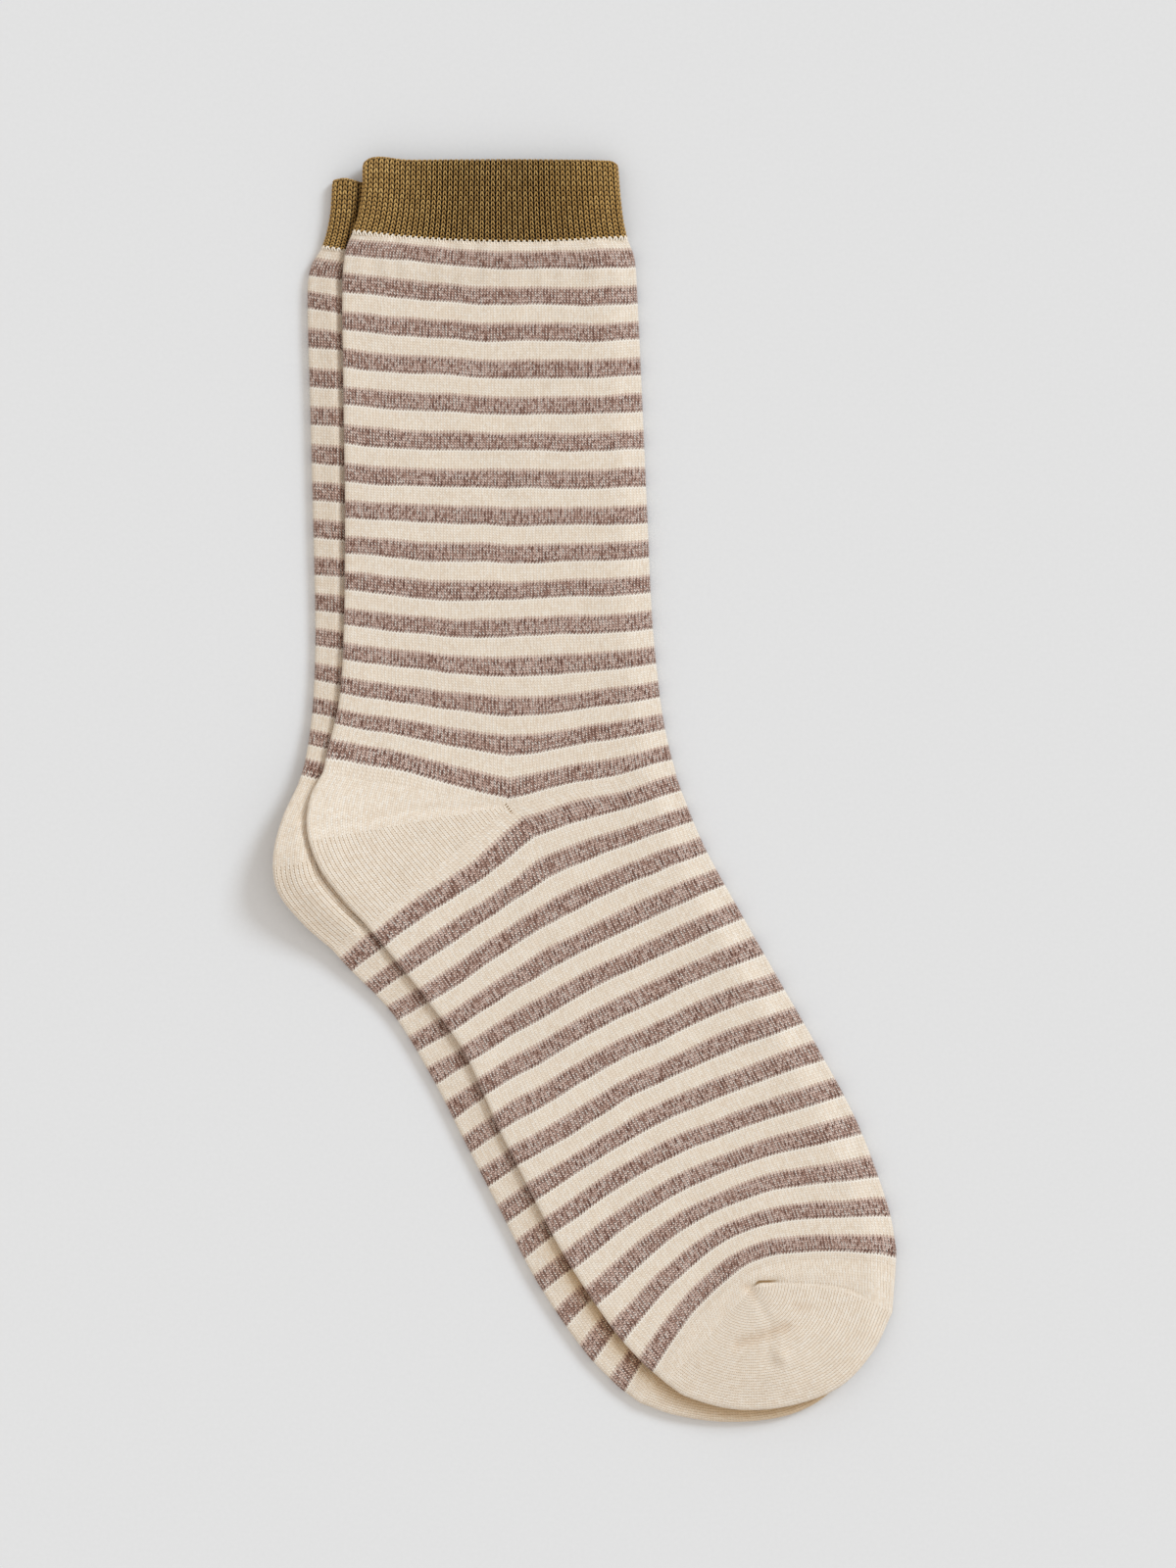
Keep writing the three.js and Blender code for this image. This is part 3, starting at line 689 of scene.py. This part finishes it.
def cuff_backing(form, name):
    """The ground of the turned cuff, up the outside, over the lip and down the inside."""
    height = cuff_height(form)
    flat = height - CUFF_LIP
    over = np.linspace(flat, flat + math.pi * CUFF_LIP, 9)
    down = np.linspace(over[-1], over[-1] + flat, 14)[1:]
    rise = np.concatenate([np.linspace(0, flat, 15)[:-1], over, down])
    corner = [0, 0.006, 0.013, 0.02]
    quarter = np.array(corner + list(np.linspace(0.02, 0.25, 26)[1:]))
    around = np.concatenate([quarter[:-1], 0.5 - quarter[:0:-1], 0.5 + quarter[:-1],
                             1 - quarter[:0:-1]])
    grid_rise, grid_round = np.meshgrid(rise, around, indexing="ij")
    points = cuff_places(form, grid_rise, grid_round, np.full(grid_rise.shape, 0.6))
    index = np.arange(grid_rise.size).reshape(grid_rise.shape)
    wrapped = np.concatenate([index, index[:, :1]], 1)
    wrapped = np.concatenate([wrapped, wrapped[:1]], 0)
    quads = np.stack([wrapped[:-1, :-1], wrapped[1:, :-1], wrapped[1:, 1:], wrapped[:-1, 1:]], -1)
    mesh = bpy.data.meshes.new(name)
    mesh.from_pydata(points.reshape(-1, 3), [], quads.reshape(-1, 4).tolist())
    return finished_piece(mesh)


def strand_shape(side):
    """One leg of a stitch: across in wales, up in rows, and out in millimetres.

    The two legs meet at the top of the stitch, and the right leg slants more.
    """
    t = np.linspace(0, 1, STRAND_RINGS)
    foot = 0.41 if side > 0 else 0.33
    middle_x = side * (foot - (foot - 0.09) * t)
    middle_y = STITCH_REACH * t
    out = 0.02 + 0.24 * np.sin(math.pi * (0.12 + 0.7 * t))
    radius = np.array([0.08, 0.10, 0.10, 0.09])
    angle = np.arange(STRAND_SIDES) * 2 * math.pi / STRAND_SIDES
    x = middle_x[:, None] + radius[:, None] * np.cos(angle)
    y = middle_y[:, None] + side * 0.3 * radius[:, None] * np.cos(angle)
    z = out[:, None] + 1.5 * radius[:, None] * np.sin(angle)
    return np.stack([x, y, z], -1).reshape(-1, 3)


def strand_faces():
    """Faces of one strand, with its two ends closed."""
    faces = []
    for ring in range(STRAND_RINGS - 1):
        for k in range(STRAND_SIDES):
            a = ring * STRAND_SIDES + k
            b = ring * STRAND_SIDES + (k + 1) % STRAND_SIDES
            faces.append([a, b, b + STRAND_SIDES, a + STRAND_SIDES])
    last = (STRAND_RINGS - 1) * STRAND_SIDES
    for half in (0, STRAND_SIDES // 2):
        corners = [(half + k) % STRAND_SIDES for k in range(4)]
        faces.append([corners[0], corners[3], corners[2], corners[1]])
        faces.append([last + corner for corner in corners])
    return np.array(faces)


def cuff_stitches(form, name):
    """Two strands of yarn for every stitch of the cuff and over its top edge.

    Below them is one row of pale loops, where the leg's stitches hook into the cuff.
    """
    rows = int(round(cuff_height(form) / CUFF_ROW))
    pitch = cuff_height(form) / rows
    wale, row = np.meshgrid(np.arange(CUFF_WALES), np.arange(-1, rows + 2), indexing="ij")
    wale, row = wale.reshape(-1, 1), row.reshape(-1, 1)
    loops = row < 0
    points, numbers = [], []
    for side in (-1, 1):
        across, up, out = strand_shape(side).T
        round_share = (wale + np.where(loops, 0, 0.5) + across) / CUFF_WALES
        rise = np.where(loops, (up / STITCH_REACH - 0.42) * LOOP_HEIGHT, 0.3 + (row + up) * pitch)
        bury = 0.5 * (1 - up / STITCH_REACH) ** 2
        sink = np.where(loops, 0.26 + bury, 0.40) - out
        points.append(cuff_places(form, rise, round_share % 1, sink))
        number = 2 * np.arange(wale.size) + (side > 0) + 1
        numbers.append(np.where(loops.ravel(), -number, number))
    points = np.concatenate(points)
    strands, corners = points.shape[:2]
    faces = strand_faces()[None] + (np.arange(strands) * corners)[:, None, None]
    mesh = bpy.data.meshes.new(name)
    mesh.from_pydata(points.reshape(-1, 3), [], faces.reshape(-1, 4).tolist())
    piece = finished_piece(mesh)
    owner = np.zeros(len(mesh.loops), np.int32)
    mesh.loops.foreach_get("vertex_index", owner)
    number = np.concatenate(numbers)[owner // corners]
    along = (owner % corners) // STRAND_SIDES / (STRAND_RINGS - 1)
    add_uv(mesh, "yarn", np.stack([number, along], -1))
    return piece


def linear(colour):
    """An sRGB hex colour as linear red, green, blue and alpha."""
    parts = [int(colour[i:i + 2], 16) / 255 for i in (1, 3, 5)]
    made = [c / 12.92 if c <= 0.04045 else ((c + 0.055) / 1.055) ** 2.4 for c in parts]
    return (*made, 1.0)


def node(tree, kind, inputs=None, **settings):
    """Adds a node. inputs maps a socket's name or number to a value or to another's output."""
    added = tree.nodes.new("ShaderNode" + kind)
    for key, value in settings.items():
        setattr(added, key, value)
    for key, value in (inputs or {}).items():
        if isinstance(value, bpy.types.NodeSocket):
            tree.links.new(value, added.inputs[key])
        else:
            added.inputs[key].default_value = value
    return added


def maths(tree, operation, first, second=None, third=None):
    values = {i: v for i, v in enumerate((first, second, third)) if v is not None}
    return node(tree, "Math", values, operation=operation).outputs[0]


def times(tree, *factors):
    product = factors[0]
    for factor in factors[1:]:
        product = maths(tree, "MULTIPLY", product, factor)
    return product


def step(tree, value, low, high, start=0.0, end=1.0):
    """Goes smoothly from start to end while value goes from low to high."""
    return node(tree, "MapRange", {0: value, 1: low, 2: high, 3: start, 4: end},
                interpolation_type="SMOOTHSTEP").outputs[0]


def uv(tree, name):
    place = node(tree, "UVMap", uv_map=name).outputs["UV"]
    split = node(tree, "SeparateXYZ", {0: place})
    return place, split.outputs[0], split.outputs[1]


def new_material(name):
    material = bpy.data.materials.new(name)
    material.use_nodes = True
    tree = material.node_tree
    tree.nodes.clear()
    return material, tree


def finish_material(tree, **sockets):
    cloth = node(tree, "BsdfPrincipled", sockets)
    node(tree, "OutputMaterial", {"Surface": cloth.outputs["BSDF"]})


def ramp(tree, value, stops):
    added = node(tree, "ValToRGB", {"Fac": value})
    elements = added.color_ramp.elements
    while len(elements) < len(stops):
        elements.new(0.5)
    for element, (place, colour) in zip(elements, stops):
        element.position = place
        element.color = linear(colour)
    return added.outputs["Color"]


def mixed(tree, factor, first, second, blend="MIX"):
    """Mixes two colours, each a hex colour or an output."""
    added = node(tree, "Mix", {0: factor}, data_type="RGBA", blend_type=blend)
    for socket, value in ((6, first), (7, second)):
        if isinstance(value, bpy.types.NodeSocket):
            tree.links.new(value, added.inputs[socket])
        else:
            added.inputs[socket].default_value = linear(value)
    return added.outputs[2]


def seam_marks(tree):
    """Share of shadow in the linking seam: a crease, then pinholes, and the heel's eyelets."""
    place, along, aside = uv(tree, "seam")
    off = maths(tree, "ABSOLUTE", aside)
    near = step(tree, off, 0.62, 0.16)
    pinhole = maths(tree, "PINGPONG", maths(tree, "DIVIDE", along, 0.78), 0.5)
    dotted = step(tree, pinhole, 0.12, 0.38)
    crease = times(tree, step(tree, along, -0.6, 3.4), step(tree, along, 11.0, 6.0))
    pinholes = times(tree, step(tree, along, 5.0, 8.0), step(tree, along, 42.0, 26.0, 0.0, 0.5),
                     dotted)
    eyelet = times(tree, maths(tree, "COMPARE", along, EYELET_START + 1.7, 1.6), dotted, 1.1)
    return times(tree, near, maths(tree, "ADD", maths(tree, "MAXIMUM", crease, pinholes), eyelet))


def striped_jersey():
    """Cotton jersey: dyed heather taupe and undyed ecru yarn, knitted plain in stripes.

    The eye sees slanting strokes of light and dark yarn, with a painted highlight on the right leg
    of each stitch, a dark pinhole of painted shade in each stitch, toothed edges where the colour
    changes, and fine lines of painted shade between the wales.
    """
    material, tree = new_material("cotton_jersey_striped")
    place, wale, course = uv(tree, "knit")
    in_wale = maths(tree, "FRACT", wale)
    off_middle = maths(tree, "ABSOLUTE", maths(tree, "MULTIPLY_ADD", in_wale, 2.0, -1.0))
    slanted = maths(tree, "MULTIPLY_ADD", off_middle, -0.85, course)
    row = maths(tree, "FLOOR", slanted)
    in_row = maths(tree, "FRACT", slanted)
    side = maths(tree, "GREATER_THAN", in_wale, 0.5)
    leg = maths(tree, "MULTIPLY_ADD", maths(tree, "FLOOR", wale), 2.0, side)

    # The stitch's relief, which also places the painted shade in its gaps: each strand is round,
    # and dips between wales and under the next loop.
    off_strand = maths(tree, "ABSOLUTE", maths(tree, "MULTIPLY_ADD", in_row, 2.0, -1.0))
    open_side = maths(tree, "MULTIPLY_ADD", side, 0.5, 0.5)
    beside_strand = times(tree, step(tree, off_strand, 0.2, 0.85), open_side)
    between = step(tree, off_middle, 0.66, 1.0)
    pinhole = times(tree, step(tree, off_middle, 0.42, 0.08), step(tree, off_strand, 0.9, 0.3))
    # The left leg of each stitch is turned from the key light: it sinks a little and takes painted
    # shade.
    turned = maths(tree, "MULTIPLY_ADD", side, -0.42, 0.42)
    gap = maths(tree, "MAXIMUM", maths(tree, "MAXIMUM", beside_strand, times(tree, between, 0.6)),
                maths(tree, "MAXIMUM", pinhole, turned))
    height = maths(tree, "SUBTRACT", 1.0, gap)

    # Chance of each strand being light or dark, in short streaks of carded fibre; on top, a
    # painted highlight on each right leg.
    stitch = node(tree, "CombineXYZ", {0: leg, 1: row})
    chance = node(tree, "TexWhiteNoise", {"Vector": stitch.outputs[0]}, noise_dimensions="3D")
    stretched = node(tree, "VectorMath", {0: place, 1: (0.8, 0.35, 1.0)}, operation="MULTIPLY")
    streaks = node(tree, "TexNoise", {"Vector": stretched.outputs[0], "Scale": 0.5,
                                      "Detail": 2.0, "Roughness": 0.6})
    patches = node(tree, "TexNoise", {"Vector": place, "Scale": 0.16, "Detail": 2.0})
    fibre = maths(tree, "MULTIPLY_ADD", chance.outputs["Value"], 0.5,
                  times(tree, streaks.outputs["Fac"], 0.3))
    # Each right leg picks a lighter colour: a painted highlight where it faces the key light.
    fibre_and_lit_leg = maths(tree, "MULTIPLY_ADD", side, 0.24, fibre)
    taupe = ramp(tree, fibre_and_lit_leg, [(0.14, "#7f5546"), (0.38, "#c49b89"), (0.6, "#fcdccc"),
                              (0.84, "#ffefe3")])
    ecru = ramp(tree, fibre_and_lit_leg, [(0.15, "#ecdcc8"), (0.5, "#f7ead8"), (0.85, "#fdf6ea")])

    # Stripes count up from zero along the leg and the foot. Pockets count below zero: no stripe.
    shifted = maths(tree, "ADD", row, BROWN_COURSES / 2 + 0.5)
    in_repeat = maths(tree, "FLOORED_MODULO", shifted, COURSES_PER_STRIPE)
    on_tube = times(tree, maths(tree, "GREATER_THAN", row, 0.0),
                    maths(tree, "LESS_THAN", row, LAST_STRIPED_COURSE))
    brown = times(tree, on_tube, maths(tree, "LESS_THAN", in_repeat, BROWN_COURSES))
    first_row = times(tree, on_tube, maths(tree, "LESS_THAN", in_repeat, 1))
    last_row = times(tree, on_tube, maths(tree, "COMPARE", in_repeat, BROWN_COURSES - 1, 0.3))
    next_row = times(tree, on_tube, maths(tree, "COMPARE", in_repeat, BROWN_COURSES, 0.3))
    colour = mixed(tree, brown, ecru, taupe)
    colour = mixed(tree, times(tree, first_row, 0.6), colour, "#e6d3c6")
    colour = mixed(tree, times(tree, last_row, 0.25), colour, "#6d5347")
    colour = mixed(tree, times(tree, next_row, 0.6), colour, "#fffaf0")

    # Painted shade in the gaps between strands and wales: deep between dark strands, slight and
    # ochre between pale ones, and more between the wales in the pockets and near the toe.
    sole_side = maths(tree, "LESS_THAN", course, float(HEEL_COURSE - HEEL_SECOND_COURSE))
    more_wale_shade = maths(tree, "ADD", times(tree, sole_side, 0.75),
                      step(tree, course, LAST_STRIPED_COURSE - 6.0, LAST_STRIPED_COURSE, 0.0, 0.6))
    in_pocket = times(tree, maths(tree, "LESS_THAN", course, 0.0), 0.3)
    striped = times(tree, maths(tree, "GREATER_THAN", course, 0.0),
                    maths(tree, "LESS_THAN", course, float(LAST_STRIPED_COURSE)))
    pale_gap_shade = maths(tree, "ADD", times(tree, maths(tree, "ADD", more_wale_shade, in_pocket), between),
                     maths(tree, "MULTIPLY_ADD", striped, 0.1, 0.32))
    dark = maths(tree, "SUBTRACT", brown, times(tree, first_row, 0.6))
    painted_gap_shade = maths(tree, "MULTIPLY_ADD", dark, 0.5, pale_gap_shade)
    painted_gap_shade = maths(tree, "MAXIMUM", times(tree, painted_gap_shade, gap), seam_marks(tree))
    # Colour of the painted gap shade: ochre between pale strands, near black between dark ones.
    colour = mixed(tree, painted_gap_shade, colour, mixed(tree, dark, "#94754f", "#1f0f0a"))
    clouds = maths(tree, "MULTIPLY_ADD", patches.outputs["Fac"], 0.10, 0.95)
    tone = node(tree, "CombineColor", {0: clouds, 1: clouds, 2: clouds}).outputs[0]
    colour = mixed(tree, 1.0, colour, tone, "MULTIPLY")
    # Painted ochre shade beside the upper sock's edge and in creases, in the tint of light that
    # went through pale yarn.
    tuck = uv(tree, "tuck")
    colour = mixed(tree, tuck[1], colour, "#e6d5ba", "MULTIPLY")
    colour = mixed(tree, tuck[2], colour, "#d6b58c", "MULTIPLY")
    bump = node(tree, "Bump", {"Height": height, "Strength": 0.4, "Distance": 0.25 * MM})
    finish_material(tree, **{"Base Color": colour, "Roughness": 0.88, "Specular IOR Level": 0.2,
                             "Sheen Weight": 0.1, "Sheen Roughness": 0.55,
                             "Normal": bump.outputs["Normal"]})
    return material


def cuff_yarn():
    """Mercerised cotton yarn, two-ply, dyed olive brown, and the ecru loops that hold it.

    The eye sees bright warm strands with soft gloss, with painted shade at their lower ends, where
    they go under the next row.
    """
    material, tree = new_material("mercerised_cotton_olive")
    place, number, along = uv(tree, "yarn")
    whole = maths(tree, "ROUND", number)
    chance = node(tree, "TexWhiteNoise", {"W": whole}, noise_dimensions="1D").outputs["Value"]
    olive = ramp(tree, chance, [(0.0, "#a27c3e"), (0.5, "#b58c4a"), (1.0, "#c9a25e")])
    pale = ramp(tree, chance, [(0.0, "#f0e1cc"), (1.0, "#fff6e6")])
    # Painted shade towards each strand's lower end.
    dive_shade = step(tree, along, 0.42, 0.0, 0.0, 0.8)
    colour = mixed(tree, dive_shade, olive, "#241704")
    colour = mixed(tree, maths(tree, "LESS_THAN", number, 0.0), colour, pale)
    finish_material(tree, **{"Base Color": colour, "Roughness": 0.6, "Specular IOR Level": 0.35,
                             "Sheen Weight": 0.1, "Sheen Roughness": 0.5})
    return material


def cuff_ground_painted_shade():
    """The inner courses of the turned cuff between the stitches: dark brown cloth, painted near
    black for the shade that falls there.
    """
    material, tree = new_material("mercerised_cotton_painted_shade")
    place = node(tree, "TexCoord").outputs["Object"]
    grain = node(tree, "TexNoise", {"Vector": place, "Scale": 1400.0, "Detail": 2.0})
    tint = ramp(tree, grain.outputs["Fac"], [(0.3, "#0d0702"), (0.7, "#1e1306")])
    finish_material(tree, **{"Base Color": tint, "Roughness": 0.95, "Specular IOR Level": 0.1})
    return material


def floor_paper():
    """Matt paper backdrop, pale neutral grey."""
    material, tree = new_material("matt_paper")
    place = node(tree, "TexCoord").outputs["Object"]
    grain = node(tree, "TexNoise", {"Vector": place, "Scale": 900.0, "Detail": 3.0})
    tint = ramp(tree, grain.outputs["Fac"], [(0.3, "#e1e1e1"), (0.7, "#e3e3e3")])
    finish_material(tree, **{"Base Color": tint, "Roughness": 1.0, "Specular IOR Level": 0.0})
    return material


def make_floor():
    bpy.ops.object.select_all(action="DESELECT")
    bpy.ops.mesh.primitive_plane_add(size=6, location=(0, 0, 0))
    floor = bpy.context.object
    floor.name = "floor"
    floor.data.transform(Matrix.Translation((0, 0, -0.00005)))
    floor.data.materials.append(floor_paper())


def make_camera():
    """Straight down, with the photograph's 440 mm by 330 mm field, a little off the centre."""
    bpy.ops.object.camera_add(location=(0.00096, 0.00165, 1.6), rotation=(0, 0, 0))
    camera = bpy.context.object
    camera.data.sensor_fit = "VERTICAL"
    camera.data.sensor_height = 36
    camera.data.sensor_width = 27
    half_field, to_cloth = 0.22, 1.597
    camera.data.lens = camera.data.sensor_height / (2 * half_field / to_cloth)
    camera.data.clip_start = 0.01
    camera.data.clip_end = 20
    bpy.context.scene.camera = camera


def make_lights():
    """A cool key from the upper right, at a low slant, and an even warm surround."""
    scene = bpy.context.scene
    world = bpy.data.worlds.new("studio")
    world.use_nodes = True
    scene.world = world
    surround = world.node_tree.nodes["Background"]
    surround.inputs["Color"].default_value = (1.04, 1.0, 0.96, 1)
    surround.inputs["Strength"].default_value = 0.737
    towards = Vector((0.62, 0.54, 0.57)).normalized()
    bpy.ops.object.light_add(type="SUN", location=(0.6, 0.5, 0.6))
    key = bpy.context.object
    key.data.energy = 0.265 * math.pi / towards.z
    key.data.color = (0.89, 1.0, 1.11)
    key.data.angle = math.radians(20)
    key.rotation_euler = towards.to_track_quat("Z", "Y").to_euler()
    scene.view_settings.view_transform = "Standard"
    scene.view_settings.look = "None"


def make_sock(form, side, jersey, yarn, ground):
    body = knit_body(form, side + "_knit")
    body.data.materials.append(jersey)
    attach(body, "root")
    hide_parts(*(side + part for part in ("_leg", "_heel", "_foot", "_toe")))
    backing = cuff_backing(form, side + "_cuff_ground_painted_shade")
    # The cuff ground's material is painted near black, as shade between the stitches.
    backing.data.materials.append(ground)
    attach(backing, "root")
    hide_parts(side + "_cuff")
    stitches = cuff_stitches(form, side + "_cuff_stitches")
    stitches.data.materials.append(yarn)
    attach(stitches, "root")


make_camera()
make_floor()
make_lights()
JERSEY, YARN, GROUND_SHADE = striped_jersey(), cuff_yarn(), cuff_ground_painted_shade()
make_sock(LOWER, "lower", JERSEY, YARN, GROUND_SHADE)
make_sock(UPPER, "upper", JERSEY, YARN, GROUND_SHADE)
